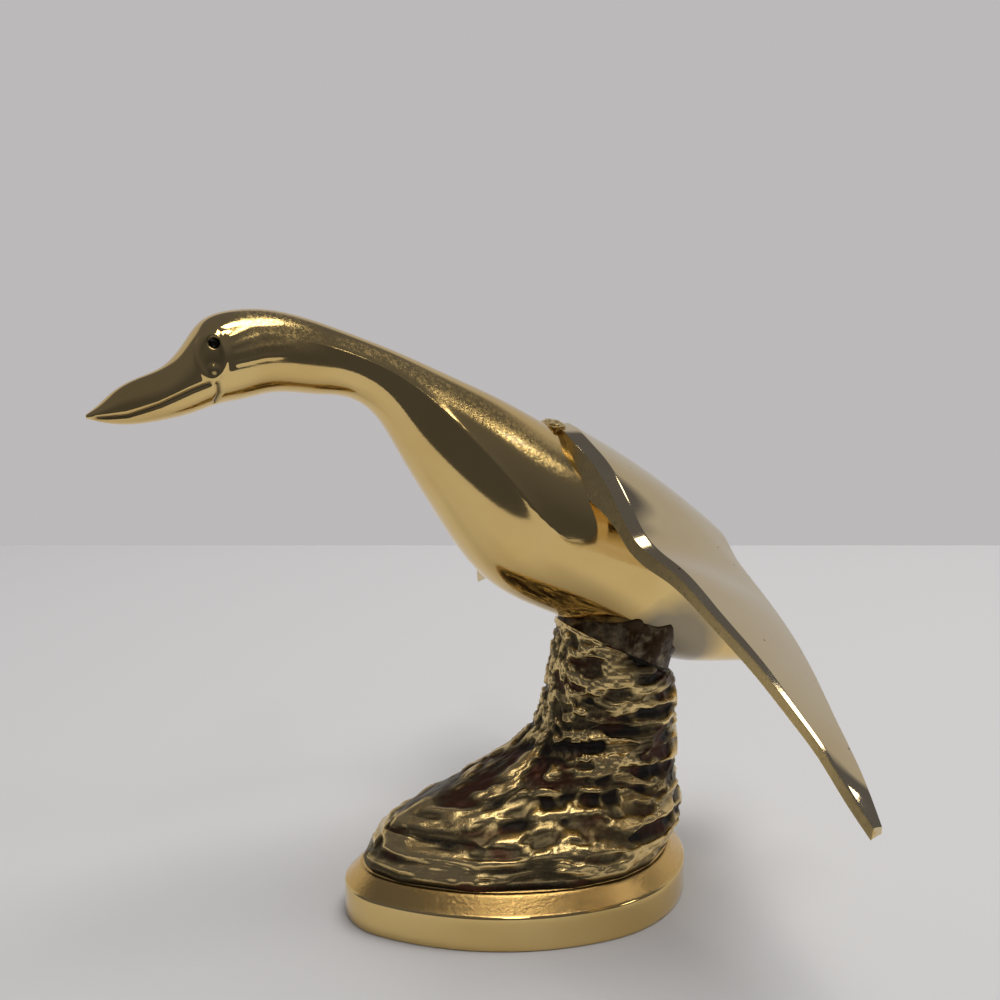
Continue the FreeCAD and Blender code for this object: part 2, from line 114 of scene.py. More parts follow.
def gridNormals(points):
    # normals of closed rings, on the side that ringMesh takes as outside
    around = np.roll(points, -1, axis=1) - np.roll(points, 1, axis=1)
    along = np.gradient(points, axis=0)
    normal = np.cross(around, along)
    return normal / (np.linalg.norm(normal, axis=-1, keepdims=True) + 1e-12)


def ringMesh(name, rings, slots=None, attributes=None):
    # a tube of closed rings with a fan over each end
    rows, across = rings.shape[:2]
    index = np.arange(rows * across).reshape(rows, across)
    right = np.roll(index, -1, axis=1)
    quads = np.stack([index[:-1], right[:-1], right[1:], index[1:]], axis=-1).reshape(-1, 4)
    first, last = rows * across, rows * across + 1
    points = np.concatenate([rings.reshape(-1, 3), [rings[0].mean(0)], [rings[-1].mean(0)]])
    fans = [(first, right[0, i], index[0, i]) for i in range(across)]
    fans += [(last, index[-1, i], right[-1, i]) for i in range(across)]
    mesh = bpy.data.meshes.new(name)
    mesh.from_pydata(points.tolist(), [], quads.tolist() + [list(map(int, f)) for f in fans])
    for key, values in (attributes or {}).items():
        layer = mesh.attributes.new(key, "FLOAT", "POINT")
        flat = np.concatenate([values.reshape(-1), [values[0].mean()], [values[-1].mean()]])
        layer.data.foreach_set("value", flat.astype(np.float32))
    if slots is not None:
        grid = np.broadcast_to(np.asarray(slots).reshape(rows - 1, -1), (rows - 1, across))
        faceSlots = np.concatenate([grid.reshape(-1), grid[0], grid[-1]]).astype(np.int32)
        mesh.polygons.foreach_set("material_index", faceSlots)
    mesh.polygons.foreach_set("use_smooth", np.ones(len(mesh.polygons), bool))
    mesh.update()
    piece = bpy.data.objects.new(name, mesh)
    bpy.context.scene.collection.objects.link(piece)
    return piece


def place(piece, materials, slot, *nodes):
    # dresses a piece, hangs it under the root and hides the solids it stands for
    for material in materials:
        piece.data.materials.append(material)
    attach(piece, "root")
    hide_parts(*nodes)
    print("placed", piece.name, len(piece.data.vertices), "points")
    return piece


def addNode(tree, kind, settings=None, links=None):
    # links: input name or number -> (node, output name or number)
    node = tree.nodes.new(kind)
    for key, value in (settings or {}).items():
        if isinstance(key, str) and hasattr(node, key):
            setattr(node, key, value)
        else:
            node.inputs[key].default_value = value
    for key, (source, output) in (links or {}).items():
        tree.links.new(source.outputs[output], node.inputs[key])
    return node


def newMaterial(name):
    material = bpy.data.materials.new(name)
    material.use_nodes = True
    material.node_tree.nodes.clear()
    return material, material.node_tree


def ramp(tree, source, stops, output=0):
    node = addNode(tree, "ShaderNodeValToRGB", links={0: (source, output)})
    bar = node.color_ramp
    while len(bar.elements) < len(stops):
        bar.elements.new(0.5)
    for element, (at, value) in zip(bar.elements, stops):
        element.position = at
        element.color = linearHex(value) if isinstance(value, str) else [value] * 3 + [1]
    return node


# Materials

# a ramp is a list of places from 0 to 1 and what the ramp gives there
polishedBrass = {
    "mottleMm": 24, "colours": [(0.35, "#E6C884"), (0.75, "#DDBA72")],
    "gloss": [(0.35, 0.05), (0.7, 0.12)], "coat": 0.5, "coatRoughness": 0.05,
    "scratchMm": 0.7, "scratchStretch": 14, "scratchTurn": -28, "scratchDepth": 0.035,
    "scratchReach": 0.2, "grainMm": 0.75, "grainReach": 0.09, "satinDepth": 0.6,
    "satinGloss": [(0.38, 0.12), (0.62, 0.36)], "dirt": "#2B2318", "dirtRoughness": 0.45,
    "pitMm": 5.5, "pitFade": [(0.0, 1.0), (0.02, 0.0)],
    "smear": "#77746B", "smearAt": (34, -8, 56), "smearReachMm": 19, "smearRoughness": 0.3,
    "smearRagged": 0.9, "smearScale": 0.72, "smearFade": [(0.70, 0.8), (0.92, 0.0)],
}


def smearPatch(tree, coords, mottle, settings):
    # where old wiping has dulled the shine, ragged at its edge
    distance = addNode(
        tree, "ShaderNodeVectorMath",
        {"operation": "DISTANCE", 1: [at * mm for at in settings["smearAt"]]}, {0: (coords, "Object")},
    )
    reach = addNode(
        tree, "ShaderNodeMath", {"operation": "DIVIDE", 1: settings["smearReachMm"] * mm},
        {0: (distance, 1)},
    )
    ragged = addNode(
        tree, "ShaderNodeMath", {"operation": "MULTIPLY_ADD", 1: settings["smearRagged"]},
        {0: (mottle, 0), 2: (reach, 0)},
    )
    shrunk = addNode(
        tree, "ShaderNodeMath", {"operation": "MULTIPLY", 1: settings["smearScale"]}, {0: (ragged, 0)}
    )
    return ramp(tree, shrunk, settings["smearFade"])


def scratchedBump(tree, coords, grain, satin, settings):
    # fine scratches that run one way, over the grain of the satin band
    turned = addNode(
        tree, "ShaderNodeMapping",
        {
            "Scale": (1 / settings["scratchStretch"], 1, 1),
            "Rotation": (0, math.radians(settings["scratchTurn"]), 0),
        },
        {"Vector": (coords, "Object")},
    )
    scratch = addNode(
        tree, "ShaderNodeTexNoise",
        {"Scale": 1 / (settings["scratchMm"] * mm), "Detail": 4.0, "Roughness": 0.7},
        {"Vector": (turned, 0)},
    )
    fine = addNode(
        tree, "ShaderNodeMath", {"operation": "MULTIPLY", 1: settings["satinDepth"]},
        {0: (satin, "Fac")},
    )
    fineBump = addNode(
        tree, "ShaderNodeBump", {"Distance": settings["grainReach"] * mm},
        {"Height": (grain, 0), "Strength": (fine, 0)},
    )
    return addNode(
        tree, "ShaderNodeBump",
        {"Strength": settings["scratchDepth"], "Distance": settings["scratchReach"] * mm},
        {"Height": (scratch, 0), "Normal": (fineBump, 0)},
    )


def makePolishedBrass(name, settings):
    # brass buffed on a wheel: yellow metal mirror under thin old lacquer, with fine scratches,
    # a wire-brushed satin band where the mesh asks for it, and dirt left in the dips
    material, tree = newMaterial(name)
    coords = addNode(tree, "ShaderNodeTexCoord")
    satin = addNode(tree, "ShaderNodeAttribute", {"attribute_name": "satin"})
    recess = addNode(tree, "ShaderNodeAttribute", {"attribute_name": "recess"})
    mottle = addNode(
        tree, "ShaderNodeTexNoise",
        {"Scale": 1 / (settings["mottleMm"] * mm), "Detail": 3.0, "Roughness": 0.55},
        {"Vector": (coords, "Object")},
    )
    grain = addNode(
        tree, "ShaderNodeTexNoise",
        {"Scale": 1 / (settings["grainMm"] * mm), "Detail": 3.0, "Roughness": 0.7},
        {"Vector": (coords, "Object")},
    )
    pits = addNode(
        tree, "ShaderNodeTexVoronoi", {"Scale": 1 / (settings["pitMm"] * mm), "Randomness": 1.0},
        {"Vector": (coords, "Object")},
    )
    smear = smearPatch(tree, coords, mottle, settings)
    pitted = ramp(tree, pits, settings["pitFade"])
    colour = (ramp(tree, mottle, settings["colours"]), 0)
    for share, tint in (((smear, 0), "smear"), ((recess, "Fac"), "dirt"), ((pitted, 0), "dirt")):
        mixed = addNode(
            tree, "ShaderNodeMix", {"data_type": "RGBA", "B": linearHex(settings[tint])},
            {"Factor": share, "A": colour},
        )
        colour = (mixed, "Result")
    buffed = ramp(tree, mottle, settings["gloss"])
    brushed = ramp(tree, grain, settings["satinGloss"])
    gloss = addNode(
        tree, "ShaderNodeMix", {"data_type": "FLOAT"},
        {"Factor": (satin, "Fac"), "A": (buffed, 0), "B": (brushed, 0)},
    )
    for share, dull in (((recess, "Fac"), "dirtRoughness"), ((smear, 0), "smearRoughness")):
        gloss = addNode(
            tree, "ShaderNodeMix", {"data_type": "FLOAT", "B": settings[dull]},
            {"Factor": share, "A": (gloss, "Result")},
        )
    bump = scratchedBump(tree, coords, grain, satin, settings)
    shader = addNode(
        tree, "ShaderNodeBsdfPrincipled",
        {"Metallic": 1.0, "Coat Weight": settings["coat"], "Coat Roughness": settings["coatRoughness"]},
        {"Base Color": colour, "Roughness": (gloss, "Result"), "Normal": (bump, 0)},
    )
    addNode(tree, "ShaderNodeOutputMaterial", links={"Surface": (shader, 0)})
    return material


filedBrass = {
    "colour": "#E8CC8C", "strokeMm": 0.4, "strokeScale": (0.12, 1, 0.35), "strokeDepth": 0.22,
    "strokeReach": 0.15, "gloss": [(0.3, 0.26), (0.7, 0.40)],
}


def makeFiledBrass(name, settings):
    # brass dressed with a file: bright fine strokes across the edge
    material, tree = newMaterial(name)
    coords = addNode(tree, "ShaderNodeTexCoord")
    turned = addNode(
        tree, "ShaderNodeMapping", {"Scale": settings["strokeScale"]}, {"Vector": (coords, "Object")}
    )
    strokes = addNode(
        tree, "ShaderNodeTexNoise",
        {"Scale": 1 / (settings["strokeMm"] * mm), "Detail": 3.0, "Roughness": 0.6},
        {"Vector": (turned, 0)},
    )
    bump = addNode(
        tree, "ShaderNodeBump",
        {"Strength": settings["strokeDepth"], "Distance": settings["strokeReach"] * mm},
        {"Height": (strokes, 0)},
    )
    gloss = ramp(tree, strokes, settings["gloss"])
    shader = addNode(
        tree, "ShaderNodeBsdfPrincipled",
        {"Base Color": linearHex(settings["colour"]), "Metallic": 1.0},
        {"Roughness": (gloss, 0), "Normal": (bump, 0)},
    )
    addNode(tree, "ShaderNodeOutputMaterial", links={"Surface": (shader, 0)})
    return material


satinBrass = {
    "colour": "#E3BC74", "grainMm": 0.7, "grainDepth": 0.8, "grainReach": 0.12,
    "gloss": [(0.3, 0.13), (0.7, 0.27)],
}


def makeSatinBrass(name, settings):
    # brass left from a wire wheel: a fine sparkling grain
    material, tree = newMaterial(name)
    coords = addNode(tree, "ShaderNodeTexCoord")
    grain = addNode(
        tree, "ShaderNodeTexNoise",
        {"Scale": 1 / (settings["grainMm"] * mm), "Detail": 4.0, "Roughness": 0.7},
        {"Vector": (coords, "Object")},
    )
    gloss = ramp(tree, grain, settings["gloss"])
    bump = addNode(
        tree, "ShaderNodeBump",
        {"Strength": settings["grainDepth"], "Distance": settings["grainReach"] * mm},
        {"Height": (grain, 0)},
    )
    shader = addNode(
        tree, "ShaderNodeBsdfPrincipled",
        {"Base Color": linearHex(settings["colour"]), "Metallic": 1.0},
        {"Roughness": (gloss, 0), "Normal": (bump, 0)},
    )
    addNode(tree, "ShaderNodeOutputMaterial", links={"Surface": (shader, 0)})
    return material


antiquedBrass = {
    # dips, slopes and ridges
    "tones": [(0.18, "#1C160E"), (0.5, "#80714F"), (0.85, "#E3C78A")],
    "gloss": [(0.1, 0.5), (0.5, 0.32), (0.85, 0.17)], "metal": [(0.15, 0.55), (0.5, 1.0)],
    "red": "#4A2818", "redPatches": [(0.5, 0.0), (0.62, 1.0)], "redDips": [(0.25, 1.0), (0.6, 0.0)],
    "patchMm": 9, "grainMm": 0.55, "grainDepth": 0.35, "grainReach": 0.25,
    "ragged": 0.35, "raggedMean": 0.17,
}


def makeAntiquedBrass(name, settings):
    # cast brass darkened with a chemical patina and wiped back, so only the ridges are bright
    material, tree = newMaterial(name)
    coords = addNode(tree, "ShaderNodeTexCoord")
    # the relief attribute is the patina's tone, with painted shade mixed in below the rear of the post's rim
    relief = addNode(tree, "ShaderNodeAttribute", {"attribute_name": "relief"})
    grain = addNode(
        tree, "ShaderNodeTexNoise",
        {"Scale": 1 / (settings["grainMm"] * mm), "Detail": 5.0, "Roughness": 0.65},
        {"Vector": (coords, "Object")},
    )
    patch = addNode(
        tree, "ShaderNodeTexNoise", {"Scale": 1 / (settings["patchMm"] * mm), "Detail": 2.0},
        {"Vector": (coords, "Object")},
    )
    broken = addNode(
        tree, "ShaderNodeMath", {"operation": "MULTIPLY_ADD", 1: settings["ragged"]},
        {0: (grain, 0), 2: (relief, "Fac")},
    )
    tone = addNode(
        tree, "ShaderNodeMath", {"operation": "SUBTRACT", 1: settings["raggedMean"]}, {0: (broken, 0)}
    )
    colour = ramp(tree, tone, settings["tones"])
    redPart = ramp(tree, patch, settings["redPatches"])
    deep = ramp(tree, tone, settings["redDips"])
    redMask = addNode(
        tree, "ShaderNodeMath", {"operation": "MULTIPLY"}, {0: (redPart, 0), 1: (deep, 0)}
    )
    colour = addNode(
        tree, "ShaderNodeMix", {"data_type": "RGBA", "B": linearHex(settings["red"])},
        {"Factor": (redMask, 0), "A": (colour, 0)},
    )
    metal = ramp(tree, tone, settings["metal"])
    gloss = ramp(tree, tone, settings["gloss"])
    bump = addNode(
        tree, "ShaderNodeBump",
        {"Strength": settings["grainDepth"], "Distance": settings["grainReach"] * mm},
        {"Height": (grain, 0)},
    )
    shader = addNode(
        tree, "ShaderNodeBsdfPrincipled",
        links={
            "Base Color": (colour, "Result"), "Roughness": (gloss, 0), "Metallic": (metal, 0),
            "Normal": (bump, 0),
        },
    )
    addNode(tree, "ShaderNodeOutputMaterial", links={"Surface": (shader, 0)})
    return material


softSolder = {
    "tones": [(0.46, "#3A2A18"), (0.66, "#8F8268")], "blotMm": 4.5, "blotDepth": 0.8, "blotReach": 0.9,
    "metallic": 0.8, "roughness": 0.45,
}


def makeSolder(name, settings):
    # soft solder wiped with a rag: dull grey metal with brown flux in its dips
    material, tree = newMaterial(name)
    coords = addNode(tree, "ShaderNodeTexCoord")
    blot = addNode(
        tree, "ShaderNodeTexNoise",
        {"Scale": 1 / (settings["blotMm"] * mm), "Detail": 5.0, "Roughness": 0.6},
        {"Vector": (coords, "Object")},
    )
    colour = ramp(tree, blot, settings["tones"])
    bump = addNode(
        tree, "ShaderNodeBump",
        {"Strength": settings["blotDepth"], "Distance": settings["blotReach"] * mm},
        {"Height": (blot, 0)},
    )
    shader = addNode(
        tree, "ShaderNodeBsdfPrincipled",
        {"Metallic": settings["metallic"], "Roughness": settings["roughness"]},
        {"Base Color": (colour, 0), "Normal": (bump, 0)},
    )
    addNode(tree, "ShaderNodeOutputMaterial", links={"Surface": (shader, 0)})
    return material


plateBrass = dict(
    polishedBrass, colours=[(0.35, "#DCCAA2"), (0.75, "#D5BC8C")], coat=0.7, smearReachMm=1,
    pitMm=4, pitFade=[(0.05, 1.0), (0.07, 0.0)],
)

bodyBrass = makePolishedBrass("buffed brass", polishedBrass)
wingBrass = makePolishedBrass("lacquered brass plate", plateBrass)
edgeBrass = makeFiledBrass("filed brass", filedBrass)
ledgeBrass = makeSatinBrass("wire-brushed brass", satinBrass)
rockBrass = makeAntiquedBrass("antiqued brass", antiquedBrass)
solderMetal = makeSolder("wiped solder", softSolder)
print("materials done")

# Bird casting

birdLow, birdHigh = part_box("bird_body")
bird = {
    "rings": 620, "around": 240, "headShare": 0.26,
    # lengths in metres, which the stations' shares follow
    "billReach": -birdLow.x, "tailReach": birdHigh.x, "crown": birdHigh.z,
    # reach, x share, z share, lean in degrees, depth and width in mm
    "stations": [
        ("bill", -1.0, 0.8545, 0, 0.7, 0.8), ("bill", -0.978, 0.8573, 0, 2.8, 3.1),
        ("bill", -0.945, 0.8640, 0, 6.0, 5.4), ("bill", -0.895, 0.8722, 0, 8.7, 7.5),
        ("bill", -0.832, 0.8832, 0, 10.5, 9.0), ("bill", -0.783, 0.9017, -4, 13.6, 10.6),
        ("bill", -0.733, 0.9239, -7, 16.7, 12.9), ("bill", -0.669, 0.9335, -2, 17.6, 14.0),
        ("bill", -0.597, 0.9364, 1, 16.4, 13.7), ("bill", -0.498, 0.9246, 4, 14.7, 12.5),
        ("bill", -0.413, 0.9091, 15, 12.6, 11.4), ("bill", -0.317, 0.8773, 33, 13.9, 12.8),
        ("bill", -0.224, 0.8234, 37, 20.3, 17.4), ("bill", -0.123, 0.7576, 33, 28.2, 23.6),
        ("tail", 0.008, 0.6763, 27, 36.1, 29.1), ("tail", 0.235, 0.6105, 26, 37.6, 31.0),
        ("tail", 0.459, 0.5440, 22, 35.5, 30.4), ("tail", 0.662, 0.4785, 16, 30.1, 27.0),
        ("tail", 0.808, 0.4320, 13, 20.7, 23.1), ("tail", 0.921, 0.3970, 9, 12.2, 20.4),
        ("tail", 1.0, 0.3730, 5, 4.9, 18.1),
    ],
}


def birdRings(settings):
    rows = []
    for reach, x, z, lean, depth, width in settings["stations"]:
        along = settings[reach + "Reach"]
        rows.append([x * along, z * settings["crown"], math.radians(lean), depth * mm / 2, width * mm / 2])
    rows = np.array(rows)
    step = np.linalg.norm(np.diff(rows[:, :2], axis=0), axis=1)
    knots = np.concatenate([[0], np.cumsum(step)])
    # half of the rings go to the head, where the finest forms are
    neck, count = settings["headShare"], settings["rings"] // 2
    head, trunk = np.linspace(0, neck, count, endpoint=False), np.linspace(neck, 1, count)
    at = np.concatenate([head, trunk]) * knots[-1]
    x, z, lean, halfDepth, halfWidth = cubicThrough(knots, rows, at).T[:, :, None]
    turn = np.linspace(0, 2 * math.pi, settings["around"], endpoint=False)[None, :]
    up, side = np.cos(turn) * halfDepth, -np.sin(turn) * halfWidth
    return np.stack([x + up * np.sin(lean), side + 0 * up, z + up * np.cos(lean)], axis=-1)


face = {
    # places seen from the side, x and z in mm; an edge runs from its rim to its floor
    "socket": (-66.2, 126.6), "socketSize": (2.5, 4.1), "socketLip": 0.3, "socketLipWidth": 0.55,
    "socketDepth": 0.25, "socketEdge": (0, -1.2), "socketDirt": 0.35, "socketDirtEdge": (0.2, -0.6),
    "pupil": (-65.6, 129.3), "pupilDepth": 0.9, "pupilEdge": (1.35, 0.5), "pupilDirtEdge": (1.4, 0.8),
    "lid": (-66.0, 124.2), "lidRadius": 1.5, "lidHeight": 0.6,
    "mouth": [(-87.5, 115.2), (-82.0, 115.6), (-76.0, 117.6), (-70.0, 120.3), (-66.8, 121.4)],
    "mouthWidth": 0.42, "mouthDepth": 0.4, "mouthDirtWidth": 0.378, "lineDirt": 0.8,
    "notch": [(-65.2, 121.2), (-64.8, 119.4), (-65.4, 117.6)], "notchWidth": 0.4, "notchDepth": 0.35,
    "ribs": [
        [(-62.5, 130.2), (-58.0, 131.9), (-52.0, 132.0)], [(-62.0, 128.6), (-57.0, 130.2), (-50.5, 130.2)],
        [(-61.5, 127.0), (-56.0, 128.3), (-50.0, 128.3)], [(-61.5, 125.2), (-56.0, 126.2), (-50.0, 126.3)],
    ],
    "ribWidth": 0.5, "ribHeight": 0.11, "ribFade": (-48, -56),
}
flank = {
    # runs are x in mm, turns are degrees round from the back
    "crest": [(-44, 66), (-30, 72), (-18, 80), (-6, 88), (6, 98)], "crestRun": (-50, -42, -2, 8),
    "crestHeight": 0.55, "crestWidth": 1.3, "plainTurns": (25, 55),
    "satin": [(-46, 0.0), (-38, 1.0), (0, 1.0), (9, 0.25), (14, 0.0)], "satinTurns": (26, 42, 56, 72),
    "crownRun": (-64, -58, -54, -36), "crownTurns": (4, 18, 75, 95),
}


def lineDistance(x, z, path):
    # distance in mm to a bent line
    best = np.full(x.shape, 1e9)
    for (x0, z0), (x1, z1) in zip(path, path[1:]):
        dx, dz = x1 - x0, z1 - z0
        share = np.clip(((x - x0) * dx + (z - z0) * dz) / (dx * dx + dz * dz), 0, 1)
        best = np.minimum(best, np.hypot(x - x0 - share * dx, z - z0 - share * dz))
    return best


def faceRelief(x, z, settings):
    # lift in mm and share of dirt for the eye, the mouth and the ribs on the crown
    (socketX, socketZ), (sizeX, sizeZ) = settings["socket"], settings["socketSize"]
    rim = (np.hypot((x - socketX) / sizeX, (z - socketZ) / sizeZ) - 1) * sizeX
    pupil = np.hypot(x - settings["pupil"][0], z - settings["pupil"][1])
    lid = np.hypot(x - settings["lid"][0], z - settings["lid"][1])
    mouth, notch = lineDistance(x, z, settings["mouth"]), lineDistance(x, z, settings["notch"])
    lift = settings["socketLip"] * bell(rim, settings["socketLipWidth"])
    lift -= settings["socketDepth"] * smoothStep(*settings["socketEdge"], rim)
    lift -= settings["pupilDepth"] * smoothStep(*settings["pupilEdge"], pupil)
    lift += settings["lidHeight"] * smoothStep(settings["lidRadius"], 0, lid)
    lift -= settings["mouthDepth"] * bell(mouth, settings["mouthWidth"])
    lift -= settings["notchDepth"] * bell(notch, settings["notchWidth"])
    ribFade = smoothStep(*settings["ribFade"], x)
    for path in settings["ribs"]:
        lift += settings["ribHeight"] * bell(lineDistance(x, z, path), settings["ribWidth"]) * ribFade
    dirt = settings["socketDirt"] * smoothStep(*settings["socketDirtEdge"], rim)
    dirt += smoothStep(*settings["pupilDirtEdge"], pupil)
    dirt += settings["lineDirt"] * bell(mouth, settings["mouthDirtWidth"])
    dirt += settings["lineDirt"] * bell(notch, settings["notchWidth"])
    return lift, dirt


def flankRelief(x, turn, halfWidth, settings):
    # lift in mm of the crest line down the flank, and the share of wire brushing
    crestX, crestTurns = np.array(settings["crest"]).T
    fromCrest = np.radians(turn - np.interp(x, crestX, crestTurns)) * halfWidth
    lift = settings["crestHeight"] * np.exp(-np.abs(fromCrest) / settings["crestWidth"])
    satin = np.interp(x, *np.array(settings["satin"]).T) * plateau(turn, settings["satinTurns"])
    crown = plateau(x, settings["crownRun"]) * plateau(turn, settings["crownTurns"])
    return lift * plateau(x, settings["crestRun"]), np.maximum(satin, crown)


def makeBird():
    rings = birdRings(bird)
    x, z = rings[..., 0] / mm, rings[..., 2] / mm
    turn = np.degrees(np.linspace(0, 2 * math.pi, bird["around"], endpoint=False))[None, :]
    turn = np.minimum(turn, 360 - turn) + 0 * x
    halfWidth = np.abs(rings[..., 1]).max(axis=1, keepdims=True) / mm
    faceLift, dirt = faceRelief(x, z, face)
    flankLift, satin = flankRelief(x, turn, halfWidth, flank)
    # the ridge of the back stays plain
    sideways = smoothStep(*flank["plainTurns"], turn)
    lift = (faceLift + flankLift) * sideways * mm
    rings = rings + gridNormals(rings) * lift[..., None]
    attributes = {"satin": satin, "recess": np.clip(dirt * sideways, 0, 1)}
    return place(ringMesh("birdCasting", rings, None, attributes), [bodyBrass], "bird_brass", "bird_body")


birdPiece = makeBird()

# Wing plates

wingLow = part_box("left_wing")[0]
wing = {
    "ribs": 260, "ribSpread": 0.9, "chordSteps": 90, "chordSpread": 1.5, "edgeSteps": 10,
    "camber": 22, "edgeCamber": 0.01, "edgeRake": 0.2,
    # a narrow steep face beside the front edge, then the flat arch of the plate
    "faceShare": 0.075, "faceRise": 0.9, "archRise": 1.32, "archFall": 2.48,
    "rootFront": (8.6, 108.5), "rootRear": (49.3, 83.1), "tipSetBack": 19.3, "tipChord": 1.8,
    "tipLow": wingLow.z / mm, "tipPlate": 2.2, "bevelMm": 0.25, "bevelSteps": 3, "bevelAngle": 35,
    "splitAngle": 40,
    # out share, front x and z shares, rear x and z shares, front and rear plate in mm
    "stations": [
        (0.0, 0.0, 0.0, 0.0, 0.0, 7.0, 7.0), (0.055, 0.026, 0.017, 0.020, 0.018, 7.0, 7.0),
        (0.111, 0.060, 0.058, 0.056, 0.064, 7.0, 7.0), (0.155, 0.197, 0.131, 0.085, 0.134, 7.0, 1.5),
        (0.199, 0.337, 0.250, 0.100, 0.194, 4.35, 1.44), (0.243, 0.400, 0.341, 0.105, 0.247, 3.3, 1.38),
        (0.365, 0.575, 0.440, 0.190, 0.346, 2.7, 1.32), (0.498, 0.689, 0.538, 0.335, 0.438, 2.22, 1.32),
        (0.664, 0.782, 0.652, 0.580, 0.555, 2.28, 1.32), (0.796, 0.813, 0.750, 0.800, 0.654, 2.1, 1.32),
        (0.885, 0.834, 0.823, 0.915, 0.749, 2.1, 1.32), (0.951, 0.891, 0.908, 0.985, 0.855, 2.34, 1.32),
        (1.0, 1.0, 1.0, 1.0, 1.0, 2.19, 1.32),
    ],
}


def bowedRow(start, end, camber, count):
    # points along an arch that bulges up from the chord
    chord = end - start
    share = np.linspace(0, 1, count)[None, :, None] ** wing["chordSpread"]
    lift = np.stack([-chord[:, 1], chord[:, 0]], axis=-1)[:, None, :]
    lift = lift * np.where(lift[..., 1:] < 0, -1, 1)
    rise = math.tan(math.radians(camber / 4)) / 2
    steep = wing["faceRise"] / wing["faceShare"] * share
    past = share - wing["faceShare"]
    arch = wing["faceRise"] + wing["archRise"] * past - wing["archFall"] * past ** 2
    bow = np.where(past < 0, steep, arch)
    return start[:, None, :] + chord[:, None, :] * share + lift * rise * bow


def wingRings(settings, side):
    table = np.array(settings["stations"])
    out = np.linspace(0, 1, settings["ribs"]) ** settings["ribSpread"]
    rib = cubicThrough(table[:, 0], table[:, 1:], out)
    frontRoot, rearRoot = np.array(settings["rootFront"]), np.array(settings["rootRear"])
    tipHeight = settings["tipLow"] + settings["tipPlate"]
    frontTip = np.array([frontRoot[0] + settings["tipSetBack"], tipHeight])
    rearTip = frontTip + [settings["tipChord"], 0]
    front = frontRoot + (frontTip - frontRoot) * rib[:, 0:2]
    rear = rearRoot + (rearTip - rearRoot) * rib[:, 2:4]
    frontDepth, rearDepth = rib[:, 4], rib[:, 5]
    frontLow = front - np.stack([frontDepth * settings["edgeRake"], frontDepth], axis=-1)
    rearLow = rear - np.stack([0 * rearDepth, rearDepth], axis=-1)
    top = bowedRow(front, rear, settings["camber"], settings["chordSteps"])
    low = bowedRow(frontLow, rearLow, settings["camber"], settings["chordSteps"])[:, ::-1]
    rearEdge = bowedRow(rear, rearLow, settings["edgeCamber"], settings["edgeSteps"])[:, 1:-1]
    frontEdge = bowedRow(frontLow, front, settings["edgeCamber"], settings["edgeSteps"])[:, 1:-1]
    section = np.concatenate([top, rearEdge, low, frontEdge], axis=1)
    y = np.broadcast_to((out * -wingLow.y)[:, None], section.shape[:2])
    rings = np.stack([section[..., 0] * mm, side * y, section[..., 1] * mm], axis=-1)
    return rings if side > 0 else rings[:, ::-1]


def makeWing(name, side, node):
    rings = wingRings(wing, side)
    slots = np.zeros((rings.shape[0] - 1, rings.shape[1]), int)
    # the front edge is filed: the last columns, or on the mirrored side the first and the last
    filed = wing["edgeSteps"] - 1
    if side > 0:
        slots[:, -filed:] = 1
    else:
        slots[:, :filed - 1] = 1
        slots[:, -1] = 1
    piece = ringMesh(name, rings, slots)
    bevel = piece.modifiers.new("soft edges", "BEVEL")
    bevel.width = wing["bevelMm"] * mm
    bevel.segments = wing["bevelSteps"]
    bevel.limit_method = "ANGLE"
    bevel.angle_limit = math.radians(wing["bevelAngle"])
    split = piece.modifiers.new("crisp", "EDGE_SPLIT")
    split.split_angle = math.radians(wing["splitAngle"])
    return place(piece, [wingBrass, edgeBrass], "wing_brass", node)


makeWing("leftWing", -1, "left_wing")
makeWing("rightWing", 1, "right_wing")

# Base casting

rockLow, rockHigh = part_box("rock_base")
base = {
    "halfLength": -rockLow.x / mm, "halfWidth": (rockHigh.y - rockLow.y) / mm / 2, "toeRadius": 15,
    "ledgeTop": 11.4, "ledgeInset": 3.6, "rockStart": 13.2, "groove": 4.8, "wall": 3.8, "mouthEdge": 0.25,
    "post": (24.54, 56.05), "postSlope": 27.1, "postLength": 30, "postWidth": 27.4,
    "footNose": 2.5, "postNose": 2.0, "layers": 19, "relief": 1.3, "carvedRun": 2,
    # numbers of mesh points round and up, and shares that close the hollow and the post's top
    "columns": 900, "leastColumns": 8, "arcSteps": 200, "ledgeRows": 8, "firstRows": 24,
    "rowsPerLayer": 9, "postRows": 60, "hollowRows": 6, "hollowTop": 0.5,
    "topShares": (0.985, 0.95, 0.85, 0.5),
    # height and inset of the foot's outer rings in mm, of which the first belong to the polished band
    "bandRings": 8,
    "foot": [
        (0, 0.35), (0.1, 0.12), (0.35, 0), (2, 0), (4, 0), (6, 0), (7.5, 0.0), (7.8, 0.12),
        (8, 0.45), (8.3, 0.75), (9.0, 1.4), (9.8, 2.15), (10.7, 3.0), (11.2, 3.45), (11.35, 3.7), (11.4, 4.1),
    ],
    # height share, then shares from the foot to the post: front, rear, half width, and nose power
    "profile": [
        (0.130, 0.140, 0.0, 0.267, 2.4), (0.252, 0.200, 0.0, 0.509, 2.7),
        (0.334, 0.345, 0.0, 0.695, 2.7), (0.415, 0.515, 0.0, 0.802, 2.5),
        (0.510, 0.700, 0.0, 0.874, 2.3), (0.605, 0.865, 0.0, 0.900, 2.0),
        (0.727, 0.935, 0.1, 0.918, 2.0), (0.890, 0.967, 0.4, 0.936, 2.0),
        (0.970, 0.981, 1.0, 0.954, 2.0),
    ],
    # way a chiselled face looks, in degrees from the rear, and its share of the relief
    "faces": [
        (10, 1.0), (30, 1.0), (50, 1.0), (70, 1.0), (90, 1.0), (108, 1.0), (128, 0.6),
        (150, 0.15), (172, 0.0),
    ],
}


